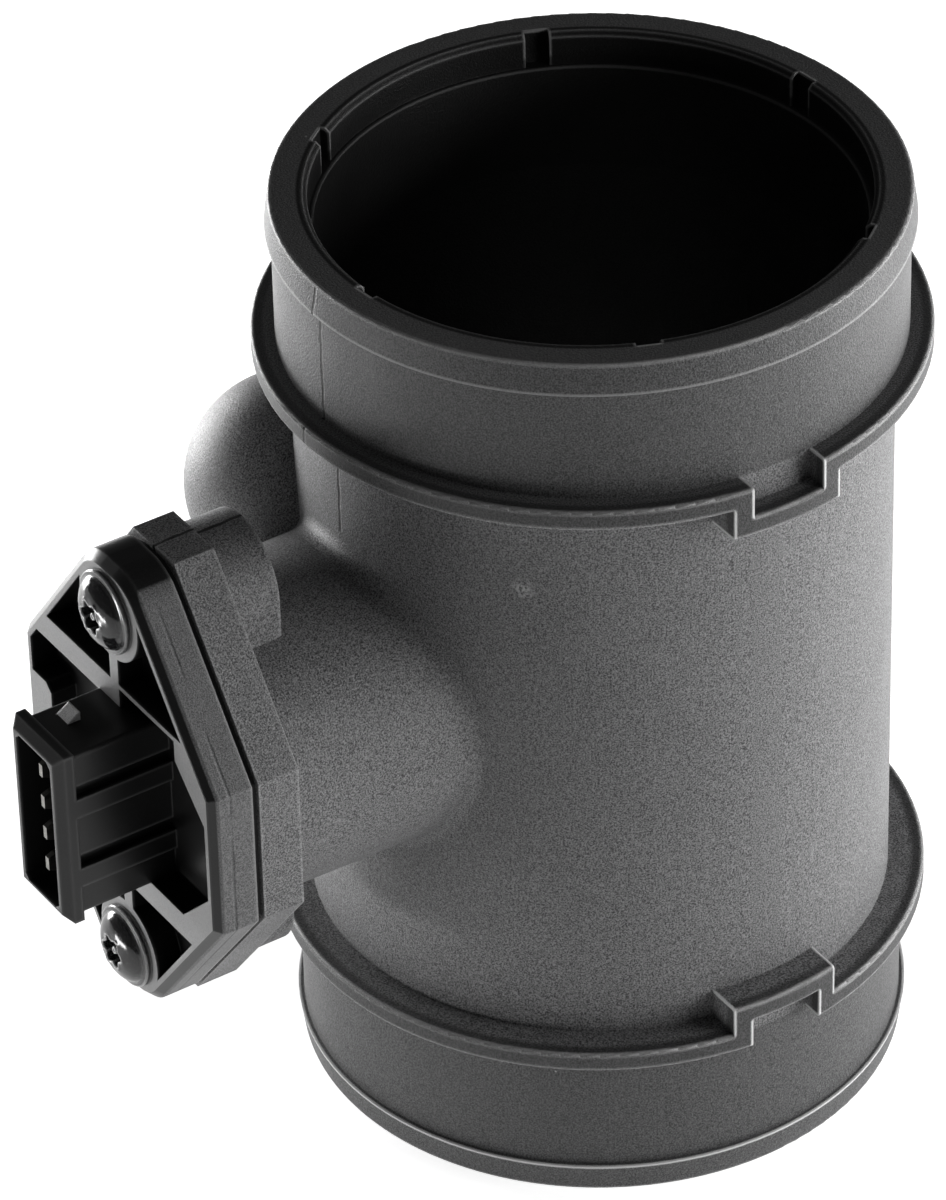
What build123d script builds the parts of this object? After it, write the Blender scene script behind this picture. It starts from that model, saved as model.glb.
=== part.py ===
from build123d import *
from math import asin, cos, sin
import os

# Mass airflow sensor: a moulded measuring tube with a plug-in sensor in its side neck.
# Millimetres. +Z is the tube's axis and points to the outlet end, the origin is the centre
# of the lower rim, and the neck points along -X.
# Pieces of the plug-in sensor are drawn in the sensor frame: x runs across the neck,
# y runs up, and z runs outwards from the tube's axis along the neck.

# ---- Driving dimensions: measuring tube
tube_length = 133.5
bore_radius = 35.5
tube_wall = 3.75
collar_rise = 1.75
bead_rise = 0.8
bead_height = 4.3
rim_edge_rise = 0.2
rim_edge_round = 0.4
counterbore_step = 0.65
counterbore_depth = 4.8
rim_chamfer = 0.65

notch_count = 6
notch_start = 6.9
notch_width = 3.2
notch_depth = 1.25

# Stop rings, each with a stepped section on the -Y side
ring_rise = 3.15
ring_height = 2.8
ring_edge_round = 0.45
upper_ring_inset = 20.2
lower_ring_inset = 22.9
step_half_width = 8.05
step_tab_width = 2.7
step_shift = 4.35

# ---- Driving dimensions: neck, pad and bosses
neck_height = 70.1
neck_wall = 5.2
neck_draft = 1.0
neck_fillet = 2.2
pad_front = 66.85
pad_thickness = 5.95
nose_half_width = 4.9
nose_reach = 7.2
side_half_width = 23.1
side_half_height = 10.7
boss_radius = 8.5
boss_centre_inset = 2.0
boss_length = 7.1
plug_bore_radius = 16.0
plug_bore_chamfer = 0.8
dome_radius = 15.0
dome_centre_rise = 0.55
dome_angle = 137.4
dome_height = 83.4

# ---- Driving dimensions: screws
screw_offset = 27.0
screw_core_radius = 2.2
screw_hole_floor = 0.65
screw_tip_gap = 1.85
screw_head_radius = 5.75
screw_flange_thickness = 0.9
screw_dome_radius = 5.0
screw_head_height = 3.1
socket_radius = 1.6
socket_lobes = 6
socket_lobe_radius = 0.5
socket_depth = 2.0
socket_pin_radius = 0.55
socket_pin_height = 1.3

# ---- Driving dimensions: plug-in sensor
seal_thickness = 0.9
seal_inset = 0.8
flange_thickness = 6.15
flange_base = 2.4
flange_wall = 1.9
flange_nose_round = 7.0
flange_edge_chamfer = 1.2
screw_pad_radius = 7.0
wide_rib_low = 12.4
wide_rib_high = 16.2
stem_rib_width = 2.0
stem_rib_centre = 0.5
thin_rib_width = 0.7
rib_recess_depth = 2.2
corner_web_leg = 6.5
label_tab_width = 4.6
label_tab_half_height = 4.8
label_tab_corner = 1.2

plug_length = 18.35
plug_end_gap = 3.5
plug_end_chamfer = 0.8
groove_setback = 8.35
groove_width = 2.8
groove_depth = 1.9

blade_tip = -7.0
blade_width = 23.0
blade_thickness = 10.0
blade_edge_round = 1.2
cover_thickness = 1.0
cover_ledge = 1.1

# Connector
shroud_centre = 1.45
shroud_width = 12.0
shroud_height = 26.5
shroud_length = 13.0
shroud_side_wall = 1.8
shroud_end_wall = 1.55
shroud_lip_length = 2.6
shroud_lip_step = 0.6
shroud_chamfer = 1.2
shroud_corner_round = 0.6
mating_depth = 12.4
socket_corner = 0.8
key_rib_height = 3.0
key_groove_height = 1.6
key_groove_depth = 0.6
key_rib_tops = (7.7, -3.3)
latch_width = 2.8
latch_length = 2.0
latch_height = 1.3
latch_centre = -0.5
latch_setback = 7.5

# Terminals
terminal_count = 4
terminal_pitch = 5.0
terminal_width = 2.8
terminal_thickness = 0.8
terminal_centre = 1.05
terminal_setback = 1.2
terminal_taper = 0.45
terminal_taper_length = 1.0

# Electronics pocket and what lies in it
pocket_floor = -1.5
pocket_start = 14.0
pocket_high = 4.5
pocket_side_wall = 2.2
pocket_end_wall = 1.5
wide_pocket_length = 3.0
shelf_length = 4.0
terminal_foot_gap = 1.0
carrier_thickness = 1.0
tongue_half_width = 2.0
tongue_tip = 3.1
board_thickness = 0.8
board_margin = 0.4
board_gap = 2.5
chip_size = 7.0
chip_thickness = 1.2
chip_across = -2.4
chip_setback = 13.0
capacitor_size = (1.0, 1.25, 2.0)
capacitor_count = 3
capacitor_pitch = 3.0
capacitor_across = -3.0
capacitor_gap = 4.5
ribbon_size = 0.25
ribbon_rise = 0.95
ribbon_bend = 0.45
ribbon_board_pitch = 3.3
ribbon_board_inset = 2.4
element_half_width = 1.3
element_thickness = 0.4
element_tip = 4.4
element_landing = 1.6
element_track_pitch = 0.7

# Measuring channel
channel_near = -4.0
channel_far = 9.0
channel_width = 5.0
channel_side_wall = 2.5
channel_back_wall = 1.2
channel_round = 3.5
outlet_height = 5.0

# Thermistor
thermistor_radius = 1.3
thermistor_out = 25.0
thermistor_rise = 2.0
lead_radius = 0.25
lead_bend = 0.8
lead_setback = 2.5
lead_landing = 2.0
window_wall = 2.1
window_half_length = 5.0

# ---- Driving dimensions: inlet grid, mesh and retainer
straightener_thickness = 2.9
straightener_rim = 2.4
cell_width = 7.0
cell_wall = 0.8
screen_thickness = 0.5
screen_pitch = 5.8
screen_wire = 0.6
screen_rim = 2.4
retainer_thickness = 1.0
retainer_width = 2.6

# ---- Clearances
plug_clearance = 0.15
slot_clearance = 0.3
screw_clearance = 0.7
seal_hole_clearance = 1.0
pocket_clearance = 0.2
insert_clearance = 0.15

# ---- Radii of the tube, worked outwards from its bore
tube_radius = bore_radius + tube_wall
collar_radius = tube_radius + collar_rise
bead_radius = collar_radius + bead_rise
rim_edge_radius = collar_radius + rim_edge_rise
ring_radius = collar_radius + ring_rise
dome_centre_radius = tube_radius + dome_centre_rise
counterbore_radius = bore_radius + counterbore_step
notch_radius = counterbore_radius + notch_depth
grid_radius = counterbore_radius - insert_clearance

# ---- Places along the neck, worked from the pad's face
sensor_frame = Plane(origin=(0, 0, neck_height), x_dir=(0, -1, 0), z_dir=(-1, 0, 0)).location
pad_rear = pad_front - pad_thickness
boss_rear = pad_rear - boss_length
screw_hole_end = boss_rear + screw_hole_floor
screw_end = screw_hole_end + screw_tip_gap
nose_height = screw_offset + nose_reach
boss_centre = screw_offset - boss_centre_inset
neck_end_radius = plug_bore_radius + neck_wall
neck_base_radius = neck_end_radius + neck_draft
flange_rear = pad_front + seal_thickness
flange_front = flange_rear + flange_thickness
flange_floor = flange_rear + flange_base
plug_radius = plug_bore_radius - plug_clearance
plug_end = pad_front - plug_length
plug_bore_floor = plug_end - plug_end_gap
groove_centre = pad_front - groove_setback

# ---- Connector and terminals, worked from the flange's front
shroud_mouth = flange_front + shroud_length
socket_floor = shroud_mouth - mating_depth
socket_width = shroud_width - 2 * shroud_side_wall
socket_height = shroud_height - 2 * shroud_end_wall
latch_rear = shroud_mouth - latch_setback
terminal_tip = shroud_mouth - terminal_setback
terminal_under = terminal_centre - terminal_thickness / 2
terminal_top = terminal_centre + terminal_thickness / 2

# ---- Inside the blade, worked from its faces and the plug's end
blade_half = blade_thickness / 2
cover_seat = blade_half - cover_thickness
wide_pocket_half = blade_width / 2 - pocket_side_wall
pocket_low = -wide_pocket_half
pocket_end = plug_end - pocket_end_wall
shelf_start = pocket_end - shelf_length
wide_pocket_start = shelf_start - wide_pocket_length
terminal_foot = shelf_start + terminal_foot_gap
carrier_top = pocket_floor + carrier_thickness
board_top = carrier_top + board_thickness
board_start = pocket_start + board_gap
element_root = pocket_start + element_landing
chip_out = shelf_start - chip_setback
channel_top = blade_width / 2 - channel_side_wall
channel_end = -channel_top
channel_floor = channel_back_wall - blade_half
window_low = pocket_high + window_wall
window_near = thermistor_out - window_half_length
window_far = thermistor_out + window_half_length
thermistor_up = window_low + thermistor_rise
lead_turn = window_near - lead_setback


# ---- Shape helpers
def block(x0, x1, y0, y1, z0, z1):
    """Box between two opposite corners."""
    return Pos((x0 + x1) / 2, (y0 + y1) / 2, (z0 + z1) / 2) * Box(x1 - x0, y1 - y0, z1 - z0)


def rod(x, y, z0, z1, radius):
    """Round bar along Z."""
    return Pos(x, y, (z0 + z1) / 2) * Cylinder(radius, z1 - z0)


def slab(outline, z0, z1):
    """Outline in the XY plane, thickened from z0 to z1."""
    return Pos(0, 0, z0) * extrude(outline, z1 - z0)


def side_slab(outline, x0, x1):
    """Outline in the YZ plane, thickened from x0 to x1."""
    return Pos(x0, 0, 0) * extrude(Plane.YZ * outline, x1 - x0)


def rectangle(x0, x1, y0, y1):
    """Rectangle between two opposite corners."""
    return Pos((x0 + x1) / 2, (y0 + y1) / 2) * Rectangle(x1 - x0, y1 - y0)


def polygon(*corners):
    """Face with straight sides between its corners."""
    return make_face(Polyline(*corners, close=True))


def turned(outline):
    """Outline of radius and height, turned about Z."""
    return revolve(Plane.XZ * outline, Axis.Z)


def wire(section, bend, *points):
    """Wire of the given section along straight runs with rounded turns."""
    path = FilletPolyline(*points, radius=bend)
    return sweep(Plane(origin=path @ 0, z_dir=path % 0) * section, path)


# ---- Housing
def tube_blank():
    """Solid turned blank of the tube with its two hose collars and beads."""
    lower_collar_end = lower_ring_inset + ring_height
    upper_collar_end = tube_length - upper_ring_inset - ring_height
    outline = polygon(
        (0, 0),
        (rim_edge_radius, 0),
        (bead_radius, bead_height),
        (collar_radius, bead_height),
        (collar_radius, lower_collar_end),
        (tube_radius, lower_collar_end),
        (tube_radius, upper_collar_end),
        (collar_radius, upper_collar_end),
        (collar_radius, tube_length - bead_height),
        (bead_radius, tube_length - bead_height),
        (rim_edge_radius, tube_length),
        (0, tube_length),
    )
    rim_corners = outline.vertices().filter_by(lambda v: abs(v.X - rim_edge_radius) < 1e-6)
    return turned(fillet(rim_corners, rim_edge_round))


def ring_profile(low, high):
    """Section of a stop ring, with its two outer edges rounded."""
    profile = rectangle(bore_radius, ring_radius, low, high)
    return fillet(profile.vertices().group_by(Axis.X)[-1], ring_edge_round)


def stop_ring(low, shift):
    """Stop ring whose stretch on the -Y side is stepped along the tube by shift.

    The step's ends are parallel to Y, which is the way the mould opens. Behind the step
    the wall is as thick as a hose collar.
    """
    high = low + ring_height
    step_low = min(low, low + shift)
    step_high = max(high, high + shift)
    step_inner = step_half_width - step_tab_width
    outside = -2 * ring_radius
    step_zone = block(-step_half_width, step_half_width, outside, 0, step_low, step_high)
    between_tabs = block(-step_inner, step_inner, outside, 0, step_low, step_high)
    ring = turned(ring_profile(low, high)) - step_zone
    tabs = (turned(ring_profile(step_low, step_high)) & step_zone) - between_tabs
    shifted = turned(ring_profile(low + shift, high + shift)) & step_zone
    backing = turned(rectangle(bore_radius, collar_radius, step_low, step_high)) & step_zone
    return ring + tabs + shifted + backing


def rim_cut():
    """Counterbore, entry chamfer and axial notches of one end, cut upwards from z = 0."""
    recess = polygon(
        (0, 0),
        (counterbore_radius + rim_chamfer, 0),
        (counterbore_radius, rim_chamfer),
        (counterbore_radius, counterbore_depth),
        (0, counterbore_depth),
    )
    cut = turned(recess)
    half = notch_width / 2
    for i in range(notch_count):
        turn = Rot(0, 0, notch_start + i * 360 / notch_count)
        cut += turn * block(0, notch_radius, -half, half, 0, counterbore_depth)
    return cut


def flange_outline(nose_round=0.0, inset=0.0):
    """Six-sided outline with a blunt nose over each screw; the noses may be rounded."""
    outline = polygon(
        (nose_half_width, nose_height),
        (side_half_width, side_half_height),
        (side_half_width, -side_half_height),
        (nose_half_width, -nose_height),
        (-nose_half_width, -nose_height),
        (-side_half_width, -side_half_height),
        (-side_half_width, side_half_height),
        (-nose_half_width, nose_height),
    )
    if inset > 0:
        outline = offset(outline, -inset, kind=Kind.INTERSECTION)
    if nose_round > 0:
        noses = outline.vertices().filter_by(lambda v: abs(v.Y) > side_half_height + nose_round)
        outline = fillet(noses, nose_round)
    return outline


def neck_pad():
    """Screw pad and the two half-round screw bosses behind it, in the sensor frame."""
    pad = slab(flange_outline(), pad_rear, pad_front)
    for side in (1, -1):
        low, high = sorted((0, side * boss_centre))
        pad += rod(0, side * boss_centre, boss_rear, pad_rear, boss_radius)
        pad += block(-boss_radius, boss_radius, low, high, boss_rear, pad_rear)
    return pad


def neck_cut():
    """Plug bore, blade slot and screw holes, in the sensor frame."""
    bore = polygon(
        (0, plug_bore_floor),
        (plug_bore_radius, plug_bore_floor),
        (plug_bore_radius, pad_front - plug_bore_chamfer),
        (plug_bore_radius + plug_bore_chamfer, pad_front),
        (0, pad_front),
    )
    cut = turned(bore)
    slot = RectangleRounded(
        blade_thickness + 2 * slot_clearance,
        blade_width + 2 * slot_clearance,
        blade_edge_round + slot_clearance,
    )
    cut += slab(slot, 0, plug_bore_floor)
    for side in (1, -1):
        cut += rod(0, side * screw_offset, screw_hole_end, pad_front, screw_core_radius)
    return cut


def make_housing():
    """Measuring tube, neck, pad and domed boss as one moulding."""
    body = tube_blank()
    neck = Pos(0, 0, pad_rear / 2) * Cone(neck_base_radius, neck_end_radius, pad_rear)
    body += sensor_frame * neck
    body = fillet(body.edges().filter_by(GeomType.BSPLINE), neck_fillet)
    body += sensor_frame * neck_pad()
    body += Rot(0, 0, dome_angle) * Pos(dome_centre_radius, 0, dome_height) * Sphere(dome_radius)
    body += stop_ring(lower_ring_inset, step_shift)
    body += stop_ring(tube_length - upper_ring_inset - ring_height, -step_shift)
    body -= rod(0, 0, 0, tube_length, bore_radius)
    body -= sensor_frame * neck_cut()
    body -= rim_cut()
    body -= Pos(0, 0, tube_length) * mirror(rim_cut(), about=Plane.XY)
    return body


# ---- Terminals, thermistor and other pieces that are moulded into the sensor body
def terminal_heights():
    """Heights of the terminals in the sensor frame, from the lowest up."""
    lowest = -(terminal_count - 1) * terminal_pitch / 2
    return [lowest + i * terminal_pitch for i in range(terminal_count)]


def make_terminal(height):
    """Flat contact blade with a tapered tip, from the electronics pocket to the connector."""
    half = terminal_width / 2
    shoulder = terminal_tip - terminal_taper_length
    outline = polygon(
        (height - half, terminal_foot),
        (height + half, terminal_foot),
        (height + half, shoulder),
        (height + half - terminal_taper, terminal_tip),
        (height - half + terminal_taper, terminal_tip),
        (height - half, shoulder),
    )
    return side_slab(outline, terminal_under, terminal_top)


def make_thermistor_leads():
    """Two wires of the thermistor, from the bead through the blade down to the board."""
    lead_height = board_top + lead_radius
    bead_edge = thermistor_radius - insert_clearance
    board_edge = pocket_high - pocket_clearance - board_margin
    board_end = shelf_start - pocket_clearance - board_margin
    straight = Plane((lead_height, thermistor_up, thermistor_out + bead_edge), z_dir=(0, 0, 1))
    length = board_end - thermistor_out - bead_edge
    outer = extrude(straight * Circle(lead_radius), length)
    inner = wire(
        Circle(lead_radius),
        lead_bend,
        (lead_height, thermistor_up, thermistor_out - bead_edge),
        (lead_height, thermistor_up, lead_turn),
        (lead_height, board_edge - lead_landing, lead_turn),
    )
    return [outer, inner]


def make_thermistor():
    """Round temperature bead that hangs between its leads in the air window."""
    bead = Pos(board_top + lead_radius, thermistor_up, thermistor_out) * Sphere(thermistor_radius)
    for lead in make_thermistor_leads():
        bead -= lead
    return bead


# ---- Sensor body
def flange_pocket():
    """Outline of the deep pockets between the flange's walls, ribs and screw pads."""
    inside = flange_outline(inset=flange_wall)
    half_side = side_half_width - flange_wall
    left_end = -side_half_width
    stem_left = stem_rib_centre - stem_rib_width / 2
    stem_right = stem_rib_centre + stem_rib_width / 2
    pocket = inside
    for side in (1, -1):
        low, high = sorted((side * wide_rib_low, side * wide_rib_high))
        pocket -= rectangle(left_end, side_half_width, low, high)
        low, high = sorted((side * wide_rib_low, side * screw_offset))
        pocket -= rectangle(stem_left, stem_right, low, high)
        pocket -= Pos(0, side * screw_offset) * Circle(screw_pad_radius)
        corner = side * wide_rib_low
        pocket -= polygon(
            (half_side, corner),
            (half_side - corner_web_leg, corner),
            (half_side, corner - side * corner_web_leg),
        )
    tab = rectangle(
        left_end, label_tab_width - half_side, -label_tab_half_height, label_tab_half_height
    )
    tab_corners = tab.vertices().group_by(Axis.X)[-1]
    pocket -= chamfer(tab_corners, label_tab_corner)
    return pocket


def flange_body():
    """Ribbed mounting flange of the sensor, open to the front."""
    body = slab(flange_outline(nose_round=flange_nose_round), flange_rear, flange_front)
    front_edges = body.faces().sort_by(Axis.Z)[-1].edges()
    body = chamfer(front_edges, flange_edge_chamfer)
    body -= slab(flange_pocket(), flange_floor, flange_front)
    stem_right = stem_rib_centre + stem_rib_width / 2
    rib_end = side_half_width - flange_wall - corner_web_leg
    body -= block(
        stem_right, rib_end, wide_rib_low, wide_rib_high - thin_rib_width,
        flange_front - rib_recess_depth, flange_front,
    )
    for side in (1, -1):
        body -= rod(0, side * screw_offset, flange_rear, flange_front,
                    screw_core_radius + screw_clearance)
    return body


def shroud_body():
    """Connector shroud with its mouth lip, guide ribs and latch ramp."""
    lip_start = shroud_mouth - shroud_lip_length
    half_width = shroud_width / 2 - shroud_lip_step
    half_height = shroud_height / 2 - shroud_lip_step
    base = RectangleRounded(2 * half_width, 2 * half_height, shroud_corner_round)
    mouth = slab(Rectangle(shroud_width, shroud_height), lip_start, shroud_mouth)
    mouth = chamfer(mouth.faces().sort_by(Axis.Z)[-1].edges(), shroud_chamfer)
    shroud = slab(base, flange_rear, lip_start) + mouth
    for top in key_rib_tops:
        groove_low = top - key_groove_height
        rib_low = groove_low - key_rib_height
        shroud -= block(half_width - key_groove_depth, half_width, groove_low, top,
                        flange_floor, lip_start)
        shroud += block(half_width - shroud_lip_step, half_width + shroud_lip_step,
                        rib_low, groove_low, flange_floor, lip_start)
    ramp = polygon(
        (half_height - shroud_lip_step, latch_rear),
        (half_height + latch_height, latch_rear),
        (half_height, latch_rear + latch_length),
        (half_height - shroud_lip_step, latch_rear + latch_length),
    )
    ramp_left = latch_centre - shroud_centre - latch_width / 2
    shroud += side_slab(ramp, ramp_left, ramp_left + latch_width)
    socket = Rectangle(socket_width, socket_height)
    socket = chamfer(socket.vertices(), socket_corner)
    shroud -= slab(socket, socket_floor, shroud_mouth)
    return Pos(shroud_centre, 0, 0) * shroud


def plug_body():
    """Round plug with its sealing groove and the flat blade that reaches into the air."""
    groove_low = groove_centre - groove_width / 2
    groove_high = groove_centre + groove_width / 2
    outline = polygon(
        (0, plug_end),
        (plug_radius - plug_end_chamfer, plug_end),
        (plug_radius, plug_end + plug_end_chamfer),
        (plug_radius, groove_low),
        (plug_radius - groove_depth, groove_low),
        (plug_radius - groove_depth, groove_high),
        (plug_radius, groove_high),
        (plug_radius, flange_rear),
        (0, flange_rear),
    )
    section = RectangleRounded(blade_thickness, blade_width, blade_edge_round)
    return turned(outline) + slab(section, blade_tip, plug_end)


def pocket_outline(grow):
    """Stepped outline of the electronics pocket in the YZ plane, grown by a margin."""
    narrow = rectangle(pocket_low - grow, pocket_high + grow, pocket_start - grow, pocket_end + grow)
    wide = rectangle(
        -wide_pocket_half - grow, wide_pocket_half + grow, wide_pocket_start - grow, pocket_end + grow
    )
    return narrow + wide


def channel_outline():
    """U-shaped air channel in the YZ plane: in at the lower edge, over the top and down."""
    bend = rectangle(channel_end, channel_top, channel_near, channel_far)
    top_corners = bend.vertices().group_by(Axis.X)[-1]
    bend = fillet(top_corners, channel_round)
    divider_top = channel_top - channel_width
    divider_near = channel_near + channel_width
    divider_far = channel_far - channel_width
    divider = rectangle(channel_end, divider_top, divider_near, divider_far)
    divider_round = (divider_far - divider_near) / 2 - insert_clearance
    divider = fillet(divider.vertices().group_by(Axis.X)[-1], divider_round)
    inlet = rectangle(
        -blade_width / 2, channel_end, channel_near, channel_near + channel_width
    )
    return bend - divider + inlet


def channel_cover_outline(margin):
    """Outline of the channel's lid in the YZ plane, with a margin all round but the inlet."""
    return rectangle(
        -blade_width / 2,
        channel_top + cover_ledge - margin,
        channel_near - cover_ledge + margin,
        channel_far + cover_ledge - margin,
    )


def blade_cut():
    """Electronics pocket, measuring channel, lid seats and thermistor window."""
    floor = side_slab(pocket_outline(0), pocket_floor, blade_half)
    shelf = block(pocket_floor, terminal_under, -blade_width, blade_width, shelf_start, plug_end)
    cut = floor - shelf
    cut += side_slab(pocket_outline(cover_ledge), cover_seat, blade_half)
    cut += side_slab(channel_outline(), channel_floor, blade_half)
    cut += side_slab(channel_cover_outline(0), cover_seat, blade_half)
    outlet = rectangle(
        channel_end, channel_end + outlet_height, channel_far - channel_width, channel_far
    )
    cut += side_slab(outlet, -blade_half, channel_floor)
    tongue_half = tongue_half_width + insert_clearance
    cut += block(
        pocket_floor, carrier_top + element_thickness + insert_clearance,
        -tongue_half, tongue_half, tongue_tip - insert_clearance, pocket_start,
    )
    cut += block(-blade_half, blade_half, window_low, blade_width / 2, window_near, window_far)
    return cut


def make_sensor_body():
    """Flange, connector shroud, plug and blade as one moulding round its inserts."""
    body = flange_body() + shroud_body() + plug_body()
    body -= blade_cut()
    for height in terminal_heights():
        body -= make_terminal(height)
    for lead in make_thermistor_leads():
        body -= lead
    return body


# ---- Lids
def make_electronics_cover():
    """Lid of the electronics pocket, flush with the blade."""
    outline = pocket_outline(cover_ledge - insert_clearance)
    return side_slab(outline, cover_seat, blade_half)


def make_channel_cover():
    """Lid of the measuring channel, flush with the blade."""
    return side_slab(channel_cover_outline(insert_clearance), cover_seat, blade_half)


# ---- Electronics
def carrier_outline(margin):
    """Stepped outline of what lies on the pocket's floor, in the YZ plane."""
    end = shelf_start - margin
    narrow = rectangle(pocket_low + margin, pocket_high - margin, pocket_start + margin, end)
    wide = rectangle(
        pocket_low + margin, wide_pocket_half - margin, wide_pocket_start + margin, end
    )
    return narrow + wide


def make_carrier_plate():
    """Metal plate on the pocket's floor, with a tongue across the measuring channel."""
    outline = carrier_outline(pocket_clearance)
    outline += rectangle(-tongue_half_width, tongue_half_width, tongue_tip, board_start)
    return side_slab(outline, pocket_floor, carrier_top)


def make_circuit_board():
    """Ceramic board on the carrier plate, stepped like the pocket."""
    outline = carrier_outline(pocket_clearance + board_margin)
    outline -= rectangle(-blade_width, blade_width, 0, board_start)
    return side_slab(outline, carrier_top, board_top)


def make_signal_chip():
    """Evaluation chip on the board."""
    outline = Pos(chip_across, chip_out) * Rectangle(chip_size, chip_size)
    return side_slab(outline, board_top, board_top + chip_thickness)


def make_capacitors():
    """Chip capacitors on the board, as separate solids."""
    rise, across, along = capacitor_size
    out = board_start + capacitor_gap
    capacitors = []
    for i in range(capacitor_count):
        height = capacitor_across + (i - (capacitor_count - 1) / 2) * capacitor_pitch
        outline = Pos(height, out) * Rectangle(across, along)
        capacitors.append(side_slab(outline, board_top, board_top + rise))
    return capacitors


def make_sensing_element():
    """Hot-film strip that lies on the tongue and reaches back beside the board."""
    outline = rectangle(-element_half_width, element_half_width, element_tip, element_root)
    return side_slab(outline, carrier_top, carrier_top + element_thickness)


def make_bond_wires():
    """Ribbon wires from the terminals to the board, and from the board to the element."""
    wires = []
    ribbon = Rectangle(ribbon_size, ribbon_size)
    middle = (terminal_count - 1) / 2
    board_out = shelf_start - pocket_clearance - board_margin - ribbon_board_inset
    terminal_out = terminal_foot + terminal_width / 2
    board_middle = (pocket_low + pocket_high) / 2
    for i, height in enumerate(terminal_heights()):
        landing = board_middle + (i - middle) * ribbon_board_pitch
        crest = terminal_top + ribbon_rise
        wires.append(wire(
            ribbon,
            ribbon_bend,
            (terminal_top, height, terminal_out),
            (crest, height, terminal_out),
            (crest, landing, board_out),
            (board_top, landing, board_out),
        ))
        track = (i - middle) * element_track_pitch
        element_top = carrier_top + element_thickness
        element_out = element_root - ribbon_bend
        track_out = board_start + 2 * ribbon_bend
        crest = board_top + ribbon_rise
        wires.append(wire(
            ribbon,
            ribbon_bend,
            (element_top, track, element_out),
            (crest, track, element_out),
            (crest, track, track_out),
            (board_top, track, track_out),
        ))
    return wires


# ---- Seals and screws
def make_flange_seal():
    """Flat gasket between the pad and the sensor's flange."""
    seal = flange_outline(nose_round=flange_nose_round - seal_inset, inset=seal_inset)
    seal -= Circle(plug_bore_radius + plug_bore_chamfer + seal_hole_clearance)
    for side in (1, -1):
        seal -= Pos(0, side * screw_offset) * Circle(screw_core_radius + seal_hole_clearance)
    return slab(seal, pad_front, flange_rear)


def make_plug_seal():
    """Round sealing ring in the plug's groove, against the neck's bore."""
    inner = plug_radius - groove_depth
    section_radius = (plug_bore_radius - inner) / 2
    return Pos(0, 0, groove_centre) * Torus(inner + section_radius, section_radius)


def make_screw(height):
    """Self-tapping screw with a domed flange head and a six-lobe socket with a centre pin."""
    seat = flange_front
    top = seat + screw_head_height
    dome_foot = seat + screw_flange_thickness
    rise = top - dome_foot
    cap_radius = (screw_dome_radius ** 2 + rise ** 2) / (2 * rise)
    half_angle = asin(screw_dome_radius / cap_radius) / 2
    mid_dome = (cap_radius * sin(half_angle), top - cap_radius * (1 - cos(half_angle)))
    stem = Polyline(
        (0, top),
        (0, screw_end),
        (screw_core_radius, screw_end),
        (screw_core_radius, seat),
        (screw_head_radius, seat),
        (screw_head_radius, dome_foot),
        (screw_dome_radius, dome_foot),
    )
    dome = ThreePointArc((screw_dome_radius, dome_foot), mid_dome, (0, top))
    screw = turned(make_face([stem, dome]))
    lobes = Circle(socket_radius)
    for location in PolarLocations(socket_radius, socket_lobes):
        lobes += location * Circle(socket_lobe_radius)
    lobes -= Circle(socket_pin_radius)
    socket_bottom = top - socket_depth
    screw -= slab(lobes, socket_bottom, top)
    screw -= rod(0, 0, socket_bottom + socket_pin_height, top, socket_pin_radius)
    return Pos(0, height, 0) * screw


# ---- Inlet grid, mesh and retainer, in the row frame
def make_flow_straightener():
    """Honeycomb disc against the counterbore's ledge."""
    disc = Circle(grid_radius)
    pitch = cell_width + cell_wall
    row_pitch = pitch * 3 ** 0.5 / 2
    corner_radius = cell_width / 3 ** 0.5
    limit = grid_radius - straightener_rim - corner_radius
    rows = int(limit / row_pitch)
    cells = []
    for row in range(-rows, rows + 1):
        shift = pitch / 2 if row % 2 else 0
        reach = int(limit / pitch) + 1
        for column in range(-reach, reach + 1):
            x = column * pitch + shift
            y = row * row_pitch
            if (x * x + y * y) ** 0.5 <= limit:
                cells.append(Pos(x, y) * RegularPolygon(corner_radius, 6, rotation=30))
    disc -= cells
    top = counterbore_depth
    return slab(disc, top - straightener_thickness, top)


def make_inlet_screen():
    """Guard mesh of crossed wires in a flat rim, under the honeycomb."""
    disc = Circle(grid_radius)
    half = (screen_pitch - screen_wire) / 2
    limit = grid_radius - screen_rim - half * 2 ** 0.5
    reach = int(limit / screen_pitch)
    openings = []
    for row in range(-reach, reach + 1):
        for column in range(-reach, reach + 1):
            x, y = column * screen_pitch, row * screen_pitch
            if (x * x + y * y) ** 0.5 <= limit:
                openings.append(Pos(x, y) * Rectangle(2 * half, 2 * half))
    disc -= openings
    top = counterbore_depth - straightener_thickness
    return slab(disc, top - screen_thickness, top)


def make_screen_retainer():
    """Flat ring with a lug in each notch of the lower rim; it holds the mesh and honeycomb."""
    top = counterbore_depth - straightener_thickness - screen_thickness
    ring = Circle(grid_radius)
    half = notch_width / 2 - insert_clearance
    for i in range(notch_count):
        lug = rectangle(0, notch_radius, -half, half)
        ring += Rot(0, 0, notch_start + i * 360 / notch_count) * lug
    ring -= Circle(grid_radius - retainer_width)
    return slab(ring, top - retainer_thickness, top)


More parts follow.
